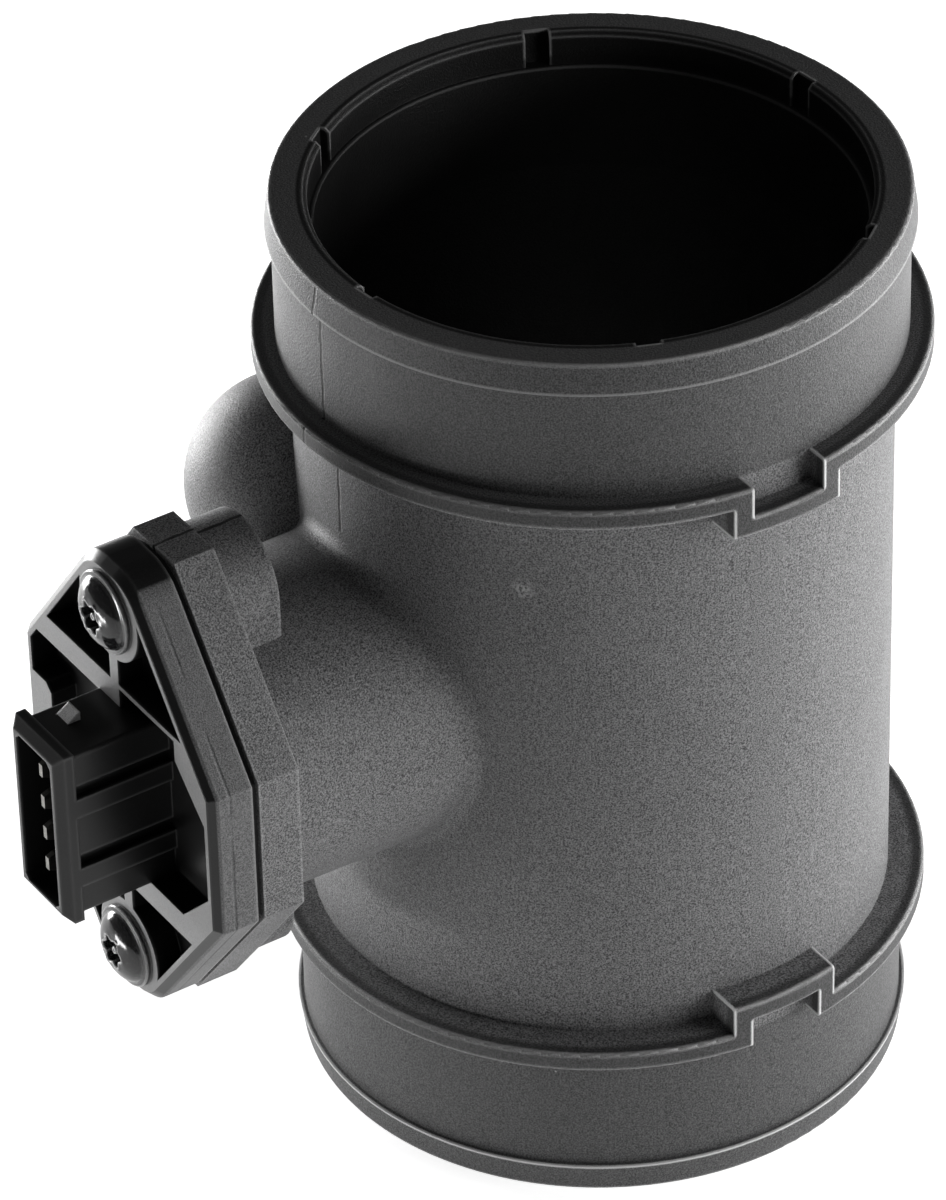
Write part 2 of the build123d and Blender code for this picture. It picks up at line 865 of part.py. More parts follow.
# ---- Build every piece
def build():
    """Write one STEP file for each piece."""
    sensor_pieces = {
        "sensor_body": make_sensor_body(),
        "flange_seal": make_flange_seal(),
        "plug_ring_seal": make_plug_seal(),
        "upper_screw": make_screw(screw_offset),
        "lower_screw": make_screw(-screw_offset),
        "electronics_cover": make_electronics_cover(),
        "channel_cover": make_channel_cover(),
        "carrier_plate": make_carrier_plate(),
        "circuit_board": make_circuit_board(),
        "signal_chip": make_signal_chip(),
        "board_capacitors": make_capacitors(),
        "bond_wires": make_bond_wires(),
        "sensing_element": make_sensing_element(),
        "air_thermistor": make_thermistor(),
        "thermistor_leads": make_thermistor_leads(),
    }
    for i, height in enumerate(terminal_heights()):
        sensor_pieces[f"terminal_{i + 1}"] = make_terminal(height)
    pieces = {
        "housing": make_housing(),
        "flow_straightener": make_flow_straightener(),
        "inlet_screen": make_inlet_screen(),
        "screen_retainer": make_screen_retainer(),
    }
    for name, piece in sensor_pieces.items():
        if isinstance(piece, list):
            piece = Compound(piece)
        pieces[name] = sensor_frame * piece
    os.makedirs("parts", exist_ok=True)
    for name, piece in pieces.items():
        export_step(piece, f"parts/{name}.step")


build()
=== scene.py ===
import math

import bmesh
import bpy
import numpy as np
from mathutils import Matrix, Vector


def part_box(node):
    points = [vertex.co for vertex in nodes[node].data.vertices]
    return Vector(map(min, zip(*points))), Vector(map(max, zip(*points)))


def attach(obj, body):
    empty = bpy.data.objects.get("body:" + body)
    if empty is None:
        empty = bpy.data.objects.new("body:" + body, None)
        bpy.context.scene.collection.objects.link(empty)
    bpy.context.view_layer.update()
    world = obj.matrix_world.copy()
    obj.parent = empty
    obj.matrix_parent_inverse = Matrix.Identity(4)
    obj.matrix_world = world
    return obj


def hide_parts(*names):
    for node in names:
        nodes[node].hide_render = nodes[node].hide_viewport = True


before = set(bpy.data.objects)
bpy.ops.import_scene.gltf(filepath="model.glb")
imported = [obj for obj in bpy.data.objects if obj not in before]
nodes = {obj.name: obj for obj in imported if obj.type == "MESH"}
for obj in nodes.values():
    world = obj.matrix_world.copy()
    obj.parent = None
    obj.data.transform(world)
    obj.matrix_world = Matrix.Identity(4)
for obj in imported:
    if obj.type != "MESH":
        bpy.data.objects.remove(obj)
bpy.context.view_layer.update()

# Mass airflow sensor: a measuring tube on end, with the plug-in sensor on its neck, towards -X.
# Lengths are metres, and MM turns a millimetre into one.
MM = 0.001

# ---- Places on the housing; the bore, its counterbore and notches stay within bore_reach
tube_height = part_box("housing")[1][2]
lower_ring_start = 22.9 * MM
upper_ring_end = 113.3 * MM
bead_start = tube_height - 4.3 * MM
bore_reach = 37.7 * MM
parting_line_start = 95 * MM
scuff_place = (-28.9 * MM, -26.6 * MM, 97.4 * MM)

# ---- Places on the sensor: its height on the tube, and distances out along -X and across
neck_height = (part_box("plug_ring_seal")[0][2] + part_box("plug_ring_seal")[1][2]) / 2
flange_thickness = 6.15 * MM
flange_past_seal = 0.8 * MM
flange_front = flange_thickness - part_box("flange_seal")[0][0]
flange_half_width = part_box("flange_seal")[1][1] + flange_past_seal
screw_offset = 27.0 * MM
latch_across = 0.5 * MM
latch_middle = 80.4 * MM


# ---- Node helpers
def add(tree, kind, **values):
    """A shader node with its sockets or settings filled in by name."""
    node = tree.nodes.new(kind)
    for name, value in values.items():
        label = name.replace("_", " ")
        if label in node.inputs:
            node.inputs[label].default_value = value
        else:
            setattr(node, name, value)
    return node


def give(tree, target, value):
    """Links a socket to an input, or sets the input to a number or an RGB triple."""
    if isinstance(value, bpy.types.NodeSocket):
        tree.links.new(value, target)
    elif isinstance(value, tuple):
        target.default_value = (*value, 1)
    else:
        target.default_value = value


def calculate(tree, operation, *values):
    """One step of arithmetic on numbers or sockets; returns the result's socket."""
    node = add(tree, "ShaderNodeMath", operation=operation)
    for target, value in zip(node.inputs, values):
        give(tree, target, value)
    return node.outputs[0]


def product(tree, first, *others):
    """Product of sockets and numbers."""
    for other in others:
        first = calculate(tree, "MULTIPLY", first, other)
    return first


def how_far(tree, value, place):
    """How far a socket's value is from a place, either way."""
    return calculate(tree, "ABSOLUTE", calculate(tree, "SUBTRACT", value, place))


def ramp(tree, value, start, end, low=0.0, high=1.0):
    """Straight ramp of a socket from low at start to high at end, clamped outside."""
    node = add(tree, "ShaderNodeMapRange", From_Min=start, From_Max=end, To_Min=low, To_Max=high)
    tree.links.new(value, node.inputs["Value"])
    return node.outputs["Result"]


def blend(tree, share, first, second):
    """Mix of two colours, each a socket or an RGB triple, by a share from 0 to 1."""
    node = add(tree, "ShaderNodeMix", data_type="RGBA")
    for number, value in ((0, share), (6, first), (7, second)):
        give(tree, node.inputs[number], value)
    return node.outputs[2]


def noise(tree, where, size, detail=2.0):
    """Noise whose blotches are about the given size."""
    node = add(tree, "ShaderNodeTexNoise", Scale=1 / size, Detail=detail)
    tree.links.new(where, node.inputs["Vector"])
    return node.outputs["Fac"]


def apart(tree, vector):
    """The three numbers of a vector."""
    node = add(tree, "ShaderNodeSeparateXYZ")
    tree.links.new(vector, node.inputs["Vector"])
    return node.outputs["X"], node.outputs["Y"], node.outputs["Z"]


def object_place(tree):
    """The place on the object, as a vector."""
    return add(tree, "ShaderNodeTexCoord").outputs["Object"]


# ---- Shared effects
def new_group(name, inputs, outputs):
    """An empty node group with number inputs; returns it with its input and output nodes."""
    group = bpy.data.node_groups.new(name, "ShaderNodeTree")
    for label, value in inputs.items():
        socket = group.interface.new_socket(label, in_out="INPUT", socket_type="NodeSocketFloat")
        socket.default_value = value
    for label, kind in outputs.items():
        group.interface.new_socket(label, in_out="OUTPUT", socket_type=kind)
    start = add(group, "NodeGroupInput")
    end = add(group, "NodeGroupOutput")
    return group, start.outputs, end.inputs


def make_grain():
    """Moulded grain: relief, light and dark specks, wide clouds and a few grains of dust.

    Specks are a third finer than the relief. Dust lies in some cells of a coarse pattern,
    one round grain near the middle of each cell that is chosen.
    """
    group, given, result = new_group(
        "moulded grain", {"Size": 0.25 * MM, "Dust Share": 0.1},
        {"Height": "NodeSocketFloat", "Specks": "NodeSocketFloat",
         "Clouds": "NodeSocketFloat", "Dust": "NodeSocketFloat"},
    )
    cloud_size, dust_spacing = 16 * MM, 4 * MM
    grain_outside, grain_inside = 0.05, 0.03
    where = object_place(group)
    fine = calculate(group, "DIVIDE", 1.0, given["Size"])
    for label, detail, finer in (("Height", 2.0, 1.0), ("Specks", 1.0, 1.3)):
        texture = add(group, "ShaderNodeTexNoise", Detail=detail, Roughness=0.6)
        group.links.new(where, texture.inputs["Vector"])
        group.links.new(product(group, fine, finer), texture.inputs["Scale"])
        group.links.new(ramp(group, texture.outputs["Fac"], 0.32, 0.68), result[label])
    group.links.new(noise(group, where, cloud_size), result["Clouds"])
    cells = add(group, "ShaderNodeTexVoronoi", Scale=1 / dust_spacing)
    group.links.new(where, cells.inputs["Vector"])
    near = ramp(group, cells.outputs["Distance"], grain_outside, grain_inside)
    colour = add(group, "ShaderNodeSeparateColor")
    group.links.new(cells.outputs["Color"], colour.inputs["Color"])
    chosen = calculate(group, "LESS_THAN", colour.outputs["Red"], given["Dust Share"])
    group.links.new(product(group, near, chosen), result["Dust"])
    return group


def make_edges():
    """Edges: a normal rounded over a small radius, and a mask of the outer corners.

    For the mask, short rays are sent into the solid. All of them stay inside under a flat or
    hollow face, and up to a half soon leave it again at an outer corner, so the mask rises as
    the share that stays falls.
    """
    group, given, result = new_group(
        "edges", {"Radius": 0.2 * MM, "Reach": 0.6 * MM},
        {"Normal": "NodeSocketVector", "Corner": "NodeSocketFloat"},
    )
    stay_on_flat, stay_on_corner = 0.97, 0.72
    bevel = add(group, "ShaderNodeBevel", samples=4)
    group.links.new(given["Radius"], bevel.inputs["Radius"])
    group.links.new(bevel.outputs["Normal"], result["Normal"])
    depth = add(group, "ShaderNodeAmbientOcclusion", samples=4, inside=True, only_local=True)
    group.links.new(given["Reach"], depth.inputs["Distance"])
    group.links.new(ramp(group, depth.outputs["AO"], stay_on_flat, stay_on_corner), result["Corner"])
    return group


grain = make_grain()
edges = make_edges()


def place_group(tree, group, **values):
    """Puts a node group in a material with its own values; returns its outputs."""
    node = add(tree, "ShaderNodeGroup", node_tree=group)
    for name, value in values.items():
        node.inputs[name.replace("_", " ")].default_value = value
    return node.outputs


# ---- Materials
def new_material(name):
    """A material with an empty Principled surface; returns it, its tree and the surface."""
    material = bpy.data.materials.new(name)
    material.use_nodes = True
    tree = material.node_tree
    tree.nodes.clear()
    out = add(tree, "ShaderNodeOutputMaterial")
    surface = add(tree, "ShaderNodeBsdfPrincipled")
    tree.links.new(surface.outputs["BSDF"], out.inputs["Surface"])
    return material, tree, surface


def finish(tree, surface, colour, rough, height, depth, normal, dent=None):
    """Joins a colour, a roughness and a relief, with any dents, to the surface."""
    dent_depth = 0.15 * MM
    link = tree.links.new
    link(colour, surface.inputs["Base Color"])
    link(rough, surface.inputs["Roughness"])
    relief = add(tree, "ShaderNodeBump", Strength=1.0, Distance=depth)
    link(height, relief.inputs["Height"])
    link(normal, relief.inputs["Normal"])
    if dent is not None:
        groove = add(tree, "ShaderNodeBump", Strength=1.0, Distance=dent_depth, invert=True)
        link(dent, groove.inputs["Height"])
        link(relief.outputs["Normal"], groove.inputs["Normal"])
        relief = groove
    link(relief.outputs["Normal"], surface.inputs["Normal"])


def grey(level):
    """A neutral colour."""
    return (level, level, level)


# ---- Housing plastic
def darker_share(tree, radius, z):
    """Share of black on the collars, above and below the rings, and painted shade on the rings
    themselves.

    A ring is what lies between two radii, well above or below the tube's middle.
    """
    collar_share, ring_shade_share = 0.54, 0.72
    ring_start, ring_full, ring_end = 42.0 * MM, 42.8 * MM, 45 * MM
    well_away, collar_fade = 30 * MM, 0.2 * MM
    middle = (lower_ring_start + upper_ring_end) / 2
    half = (upper_ring_end - lower_ring_start) / 2
    from_middle = how_far(tree, z, middle)
    collar = ramp(tree, from_middle, half - collar_fade, half + collar_fade)
    # Painted shade: the stop rings are darkened beyond the collars.
    ring = product(
        tree,
        ramp(tree, radius, ring_start, ring_full),
        calculate(tree, "LESS_THAN", radius, ring_end),
        calculate(tree, "GREATER_THAN", from_middle, well_away),
    )
    return calculate(tree, "MAXIMUM", product(tree, collar, collar_share),
                     product(tree, ring, ring_shade_share))


def corner_share(tree, radius, z, inside, outer):
    """How far outer corners are lightened as a painted highlight: well on the tube, collars and
    rings, and elsewhere less.

    Beyond the rings' reach are the neck's pad and its bosses. In the bore, only the counterbore
    at the upper mouth has the painted highlight on its corners. Less shows close to the foot of the
    rim's bead too.
    """
    on_tube, on_pad, at_mouth, at_bead = 0.9, 0.12, 0.35, 0.3
    ring_reach, pad_start = 44.6 * MM, 45.6 * MM
    mouth_start, mouth_full = tube_height - 5.6 * MM, tube_height - 5.2 * MM
    bead_near, bead_clear = 0.6 * MM, 1.2 * MM
    mouth = product(tree, inside, ramp(tree, z, mouth_start, mouth_full))
    outside = product(tree, outer, ramp(tree, radius, ring_reach, pad_start, on_tube, on_pad))
    shown = calculate(tree, "MAXIMUM", outside, product(tree, mouth, at_mouth))
    from_bead = how_far(tree, z, bead_start)
    return product(tree, shown, ramp(tree, from_bead, bead_near, bead_clear, at_bead, 1.0))


def parting_line(tree, where, x, y, z, radius):
    """Thin wavering line up the neck's side, from the tube's wall to the rim, with a jog.

    The jog is at the foot of the rim's bead. The line leaves out the stop ring's top face, the
    bore and the rim's rounded edge.
    """
    waver_size, waver, jog_width = 2.5 * MM, 0.7 * MM, 0.5 * MM
    line_outside, line_inside, fade = 0.32 * MM, 0.18 * MM, 0.1 * MM
    wall_radius, collar_reach, rim_edge = 39.1 * MM, 41.2 * MM, 0.4 * MM
    wobble = product(tree, calculate(tree, "SUBTRACT", noise(tree, where, waver_size), 0.5), waver)
    jog = product(tree, calculate(tree, "GREATER_THAN", z, bead_start), jog_width)
    across = calculate(tree, "SUBTRACT", calculate(tree, "ADD", y, wobble), jog)
    ring_top = product(
        tree,
        ramp(tree, radius, collar_reach, collar_reach + fade),
        calculate(tree, "LESS_THAN", how_far(tree, z, upper_ring_end), fade),
    )
    return product(
        tree,
        ramp(tree, calculate(tree, "ABSOLUTE", across), line_outside, line_inside),
        calculate(tree, "GREATER_THAN", z, parting_line_start),
        calculate(tree, "LESS_THAN", x, 0.0),
        ramp(tree, radius, wall_radius, wall_radius + fade),
        calculate(tree, "LESS_THAN", z, tube_height - rim_edge),
        calculate(tree, "SUBTRACT", 1.0, ring_top),
    )


def scuff(tree, where):
    """One small broken scuff on the tube's wall."""
    outside, inside, speck_size = 1.9 * MM, 0.5 * MM, 0.5 * MM
    away = add(tree, "ShaderNodeVectorMath", operation="DISTANCE")
    tree.links.new(where, away.inputs[0])
    away.inputs[1].default_value = scuff_place
    near = ramp(tree, away.outputs["Value"], outside, inside)
    return product(tree, near, ramp(tree, noise(tree, where, speck_size), 0.45, 0.6))


def make_housing_plastic():
    """Grained charcoal moulding: matt tube, darker collars, bore painted black as shade, painted
    highlights on the rim's top and outer corners.

    The parting line runs up the neck's side of the tube, collar and rim, and the tube's wall
    has one small scuff.
    """
    rim_top_highlight_share, bore_shade_share, corner_gloss = 0.22, 0.94, 0.16
    material, tree, surface = new_material("housing plastic")
    where = object_place(tree)
    x, y, z = apart(tree, where)
    radius = calculate(tree, "POWER", calculate(
        tree, "ADD", product(tree, x, x), product(tree, y, y)), 0.5)
    texture = place_group(tree, grain, Size=0.28 * MM, Dust_Share=0.06)
    corner = place_group(tree, edges, Radius=0.2 * MM, Reach=0.45 * MM)

    colour = blend(tree, texture["Specks"], (0.028, 0.028, 0.029), (0.262, 0.262, 0.265))
    colour = blend(tree, darker_share(tree, radius, z), colour, grey(0.012))
    # Painted highlight: the rim's top is lightened.
    rim_top_highlight = ramp(tree, z, tube_height - 0.35 * MM, tube_height - 0.1 * MM, 0.0, rim_top_highlight_share)
    colour = blend(tree, rim_top_highlight, colour, grey(0.3))
    # Painted shade: the bore is blackened.
    inside = ramp(tree, radius, bore_reach, bore_reach - 0.3 * MM, 0.0, bore_shade_share)
    colour = blend(tree, inside, colour, grey(0.003))
    outer = calculate(tree, "SUBTRACT", 1.0, inside)
    # Painted highlight: outer corners are lightened towards a light grey.
    corner_highlight = product(tree, corner["Corner"], corner_share(tree, radius, z, inside, outer))
    colour = blend(tree, corner_highlight, colour, grey(0.85))
    line = parting_line(tree, where, x, y, z, radius)
    colour = blend(tree, line, colour, grey(0.004))
    marks = calculate(tree, "MAXIMUM", scuff(tree, where), texture["Dust"])
    colour = blend(tree, product(tree, marks, outer), colour, grey(0.42))

    rough = ramp(tree, texture["Clouds"], 0.3, 0.7, 0.46, 0.58)
    rough = calculate(tree, "SUBTRACT", rough, product(tree, corner_highlight, corner_gloss))
    finish(tree, surface, colour, rough, texture["Height"], 0.035 * MM, corner["Normal"], line)
    surface.inputs["Specular IOR Level"].default_value = 0.35
    return material


# ---- Sensor plastic
def outer_wall(tree, side, height):
    """Mask of the flange's wall: all that is beyond its six-sided outline, drawn in a little.

    The outline's slanted sides lie where across side + up height is the slant's reach.
    """
    across, up, slant_reach = 0.7906, 0.6123, 24.82 * MM
    slant = calculate(tree, "ADD", product(tree, side, across), product(tree, height, up))
    beyond = calculate(tree, "MAXIMUM", calculate(tree, "SUBTRACT", side, flange_half_width),
                       calculate(tree, "SUBTRACT", slant, slant_reach))
    return ramp(tree, beyond, -0.35 * MM, -0.2 * MM)


def rib_fronts(tree, out):
    """Mask of the flat fronts of the flange's ribs and rim, which face out; they take grain and a
    painted highlight.
    """
    off_level, on_level, least_facing = 0.08 * MM, 0.04 * MM, 0.9
    level = ramp(tree, how_far(tree, out, flange_front), off_level, on_level)
    facing = apart(tree, add(tree, "ShaderNodeNewGeometry").outputs["True Normal"])[0]
    return product(tree, level, calculate(tree, "LESS_THAN", facing, -least_facing))


def latch_highlight(tree, out, y, z, specks):
    """Mask of the latch ramp on top of the connector, speckled, for a painted highlight."""
    half_width, half_length, shroud_rise = 1.45 * MM, 1.1 * MM, 12.75 * MM
    return product(
        tree,
        calculate(tree, "LESS_THAN", how_far(tree, y, latch_across), half_width),
        calculate(tree, "LESS_THAN", how_far(tree, out, latch_middle), half_length),
        calculate(tree, "GREATER_THAN", z, neck_height + shroud_rise),
        ramp(tree, specks, 0.0, 0.5, 0.6, 1.0),
    )


def make_sensor_plastic():
    """Black moulding: grained on the flange's outer walls and rib fronts, smooth elsewhere.

    A thin mould line runs round the flange's outer wall. The rib fronts, the latch ramp and the
    outer corners are lightened as painted highlights.
    """
    front_highlight_share, line_share, grained_dullness, line_inset = 0.6, 0.45, 0.14, 2.8 * MM
    material, tree, surface = new_material("sensor plastic")
    x, y, z = apart(tree, object_place(tree))
    out = product(tree, x, -1.0)
    texture = place_group(tree, grain, Size=0.22 * MM, Dust_Share=0.04)
    corner = place_group(tree, edges, Radius=0.35 * MM, Reach=0.5 * MM)

    wall = outer_wall(tree, calculate(tree, "ABSOLUTE", y), how_far(tree, z, neck_height))
    front = rib_fronts(tree, out)
    grained = calculate(tree, "MAXIMUM", wall, front)
    smooth = blend(tree, texture["Specks"], grey(0.006), (0.012, 0.012, 0.0123))
    coarse = blend(tree, texture["Specks"], (0.05, 0.05, 0.051), (0.19, 0.19, 0.192))
    colour = blend(tree, grained, smooth, coarse)
    # Painted highlight: the rib fronts are lightened.
    colour = blend(tree, product(tree, front, front_highlight_share), colour, grey(0.36))
    # Painted highlight: outer corners are lightened, more on the grained walls.
    corner_highlight = product(tree, corner["Corner"], ramp(tree, grained, 0.0, 1.0, 0.2, 0.5))
    colour = blend(tree, corner_highlight, colour, grey(0.3))
    # Painted highlight: the latch ramp is lightened almost to white.
    latch_highlight_mask = latch_highlight(tree, out, y, z, texture["Specks"])
    colour = blend(tree, latch_highlight_mask, colour, grey(0.8))
    line = product(
        tree,
        ramp(tree, how_far(tree, out, flange_front - line_inset), 0.3 * MM, 0.05 * MM),
        wall,
        ramp(tree, texture["Clouds"], 0.4, 0.6),
    )
    colour = blend(tree, product(tree, line, line_share), colour, grey(0.03))
    colour = blend(tree, texture["Dust"], colour, grey(0.3))

    rough = calculate(tree, "ADD", ramp(tree, texture["Clouds"], 0.3, 0.7, 0.28, 0.36),
                      product(tree, grained, grained_dullness))
    height = product(tree, texture["Height"], ramp(tree, grained, 0.0, 1.0, 0.15, 1.0))
    finish(tree, surface, colour, rough, height, 0.02 * MM, corner["Normal"], line)
    surface.inputs["Specular IOR Level"].default_value = 0.3
    return material


# ---- Plain stuffs and metals
def moulded(name, dark, light, rough, size, depth, edge_highlight_share=0.1, radius=0.1 * MM):
    """Plain moulded or pressed stuff: speckled between two colours, with finely rounded edges and
    corners lightened as a painted highlight.
    """
    material, tree, surface = new_material(name)
    texture = place_group(tree, grain, Size=size, Dust_Share=0.02)
    corner = place_group(tree, edges, Radius=radius, Reach=3 * radius)
    colour = blend(tree, texture["Specks"], dark, light)
    # Painted highlight: corners are lightened towards a mid grey.
    colour = blend(tree, product(tree, corner["Corner"], edge_highlight_share), colour, grey(0.5))
    rough = ramp(tree, texture["Clouds"], 0.3, 0.7, rough - 0.05, rough + 0.05)
    finish(tree, surface, colour, rough, texture["Height"], depth, corner["Normal"])
    return material


def metal(name, colour, rough, streak=(1, 1, 1), metallic=1.0, painted_corner_highlight=0.0):
    """Metal or coated metal: faint streaks in colour and shine, rounded edges, corners lightened as
    a painted highlight.

    A streak of 0.1 along an axis makes the streaks ten times as long that way.
    """
    streak_size, streak_depth, shine_change = 0.4 * MM, 0.003 * MM, 0.07
    material, tree, surface = new_material(name)
    stretch = add(tree, "ShaderNodeMapping", Scale=streak)
    tree.links.new(object_place(tree), stretch.inputs["Vector"])
    streaks = noise(tree, stretch.outputs["Vector"], streak_size, detail=3.0)
    corner = place_group(tree, edges, Radius=0.06 * MM, Reach=0.3 * MM)
    dull = tuple(0.75 * channel for channel in colour)
    bright = tuple(min(1.0, 1.15 * channel) for channel in colour)
    tint = blend(tree, ramp(tree, streaks, 0.3, 0.7), dull, bright)
    # Painted highlight: outer corners are lightened towards a light grey.
    tint = blend(tree, product(tree, corner["Corner"], painted_corner_highlight), tint, grey(0.9))
    shine = ramp(tree, streaks, 0.3, 0.7, max(0.04, rough - shine_change), rough + shine_change)
    finish(tree, surface, tint, shine, streaks, streak_depth, corner["Normal"])
    surface.inputs["Metallic"].default_value = metallic
    return material


sensor_plastic = make_sensor_plastic()
seal_rubber = moulded("seal rubber", grey(0.006), grey(0.014), rough=0.7,
                      size=0.3 * MM, depth=0.01 * MM, edge_highlight_share=0.02)
grid_plastic = moulded("grid plastic", grey(0.015), grey(0.03), rough=0.5,
                       size=0.3 * MM, depth=0.01 * MM)
terminal_tin = metal("terminal tin", (0.24, 0.235, 0.22), rough=0.36, streak=(0.1, 1, 1))
# The screw heads' outer corners get the full painted highlight.
screw_steel = metal("screw steel", (0.012, 0.012, 0.0125), rough=0.14, metallic=0.0, painted_corner_highlight=1.0)
screen_steel = metal("screen steel", grey(0.55), rough=0.35)

node_materials = {
    "housing": make_housing_plastic(),
    "sensor_body": sensor_plastic,
    "electronics_cover": sensor_plastic,
    "channel_cover": sensor_plastic,
    "flange_seal": seal_rubber,
    "plug_ring_seal": seal_rubber,
    "carrier_plate": metal("carrier aluminium", (0.7, 0.71, 0.73), rough=0.32, streak=(0.1, 1, 1)),
    "circuit_board": moulded("board ceramic", (0.62, 0.61, 0.57), (0.7, 0.69, 0.66), rough=0.45,
                             size=0.15 * MM, depth=0.004 * MM, radius=0.04 * MM),
    "signal_chip": moulded("chip plastic", (0.018, 0.018, 0.019), (0.03, 0.03, 0.031), rough=0.55,
                           size=0.2 * MM, depth=0.008 * MM),
    "board_capacitors": moulded("capacitor ceramic", (0.3, 0.2, 0.12), (0.36, 0.25, 0.16),
                                rough=0.4, size=0.15 * MM, depth=0.004 * MM, radius=0.04 * MM),
    "bond_wires": metal("wire aluminium", (0.75, 0.75, 0.77), rough=0.3),
    "sensing_element": moulded("element glass", (0.07, 0.08, 0.11), (0.1, 0.11, 0.15), rough=0.15,
                               size=0.2 * MM, depth=0.001 * MM, radius=0.03 * MM),
    "air_thermistor": moulded("bead glass", (0.02, 0.025, 0.03), (0.03, 0.035, 0.045), rough=0.12,
                              size=0.3 * MM, depth=0.002 * MM, radius=0.04 * MM),
    "thermistor_leads": metal("lead steel", (0.62, 0.62, 0.6), rough=0.3),
    "flow_straightener": grid_plastic,
    "screen_retainer": grid_plastic,
}
for number in range(1, 5):
    node_materials[f"terminal_{number}"] = terminal_tin
for node_name, material in node_materials.items():
    mesh = nodes[node_name].data
    mesh.materials.clear()
    mesh.materials.append(material)


# ---- New pieces
def grid_faces(rows, columns, joined=False):
    """Corner numbers of the quads of a grid, row by row.

    Each row closes on itself, and the last row joins the first where joined is set.
    """
    spans = rows if joined else rows - 1
    row, column = np.meshgrid(np.arange(spans), np.arange(columns), indexing="ij")
    next_row = (row + 1) % rows
    next_column = (column + 1) % columns
    return np.stack([
        row * columns + column, row * columns + next_column,
        next_row * columns + next_column, next_row * columns + column,
    ], axis=-1).reshape(-1, 4)


def make_piece(name, points, quads, material, node):
    """Object from an array of points and quads; it stands in for a node, which is hidden, and hangs
    on the root body.

    Points that fall together at a pole become one, and every face is turned outwards. Blunt
    edges are shaded smooth.
    """
    merge_distance, smooth_angle = 0.0001 * MM, math.radians(35)
    mesh = bpy.data.meshes.new(name)
    mesh.vertices.add(len(points))
    mesh.vertices.foreach_set("co", points.astype(np.float32).ravel())
    mesh.loops.add(quads.size)
    mesh.loops.foreach_set("vertex_index", quads.astype(np.int32).ravel())
    mesh.polygons.add(len(quads))
    mesh.polygons.foreach_set("loop_start", np.arange(len(quads), dtype=np.int32) * 4)
    mesh.update(calc_edges=True)
    mesh.validate()
    form = bmesh.new()
    form.from_mesh(mesh)
    bmesh.ops.remove_doubles(form, verts=form.verts, dist=merge_distance)
    bmesh.ops.recalc_face_normals(form, faces=form.faces)
    form.to_mesh(mesh)
    form.free()
    mesh.shade_smooth()
    mesh.set_sharp_from_angle(angle=smooth_angle)
    mesh.materials.append(material)
    piece = bpy.data.objects.new(name, mesh)
    bpy.context.scene.collection.objects.link(piece)
    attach(piece, "root")
    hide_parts(node)


def screw_profile():
    """Rows of radius, height, share of lobe and share of thread, from the pin to the tip.

    Heights are above the screw's seat, in millimetres. The dome's height over its foot goes
    with a power of (1 - (r / dome radius) squared), and the lobes fade out up it. The shank
    tapers at its end, where the thread fades out too.
    """
    top, dome_foot, dome_radius, dome_power = 3.1, 0.9, 5.0, 0.62
    lobe_end, lobe_fade = 2.9, 0.6
    shank_radius, thread_start, thread_end, thread_fade = 2.2, -1.0, -16.6, 1.5
    taper_start, taper_length, taper = 15, 1.4, 0.5
    pin = [(0.0, 2.4, 0, 0), (0.42, 2.4, 0, 0), (0.52, 2.3, 0, 0), (0.55, 1.15, 0, 0)]
    socket = [
        (0.6, 1.1, 0, 0), (1.3, 1.1, 0.3, 0), (1.9, 1.12, 1, 0), (1.97, 1.2, 1, 0),
        (1.98, 2.6, 1, 0), (2.02, 2.73, 1, 0), (2.15, 2.8, 1, 0),
    ]
    dome = [
        (r, dome_foot + (top - dome_foot) * (1 - (r / dome_radius) ** 2) ** dome_power,
         np.clip((lobe_end - r) / lobe_fade, 0, 1), 0)
        for r in np.linspace(2.3, dome_radius - 0.15, 12)
    ]
    washer = [
        (4.95, 1.02, 0, 0), (5.08, 0.93, 0, 0), (5.5, 0.9, 0, 0), (5.62, 0.86, 0, 0),
        (5.72, 0.74, 0, 0), (5.75, 0.6, 0, 0), (5.75, 0.22, 0, 0), (5.7, 0.08, 0, 0),
        (5.6, 0.0, 0, 0), (2.5, 0.0, 0, 0),
    ]
    neck = [(shank_radius, -0.3, 0, 0), (shank_radius, thread_start, 0, 0)]
    heights = np.linspace(thread_start - 0.2, thread_end + 0.4, 76)
    fade = np.clip(np.minimum(thread_start - heights, heights - thread_end) / thread_fade, 0, 1)
    shank = [
        (shank_radius - taper * max(0, (-height - taper_start) / taper_length), height, 0, share)
        for height, share in zip(heights, fade)
    ]
    tip = [(1.5, thread_end, 0, 0), (0.7, -17.2, 0, 0), (0.0, -17.5, 0, 0)]
    return np.array(pin + socket + dome + washer + neck + shank + tip)


def make_screw(name, node, side):
    """Flange-head screw with a six-lobe socket, a centre pin and a coarse thread.

    The surface is a profile turned about the screw's axis. A point at step s and angle t has
    the radius r(s) + lobe(s) cos(6 t) + thread(s) ridge(h(s) / pitch - t / turn), and the
    height h(s) above the screw's seat, where ridge is a triangle wave on the half of each
    pitch.
    """
    sides, lobe_depth, thread_depth, pitch = 72, 0.3, 0.45, 1.8
    profile = screw_profile()
    radius, height, lobe, thread = profile.T[:, :, None]
    turn = np.linspace(0, 2 * np.pi, sides, endpoint=False)[None, :]
    wave = np.mod(height / pitch - turn / (2 * np.pi), 1.0)
    ridge = np.clip(1 - np.abs(wave - 0.5) * 4, 0, 1)
    r = radius + lobe * lobe_depth * np.cos(6 * turn) + thread * thread_depth * ridge
    out = flange_front / MM + height + 0 * turn
    points = np.stack([-out, -r * np.cos(turn), r * np.sin(turn)], axis=-1) * MM
    points[..., 2] += neck_height + side * screw_offset
    make_piece(name, points.reshape(-1, 3), grid_faces(len(profile), sides),
               screw_steel, node)


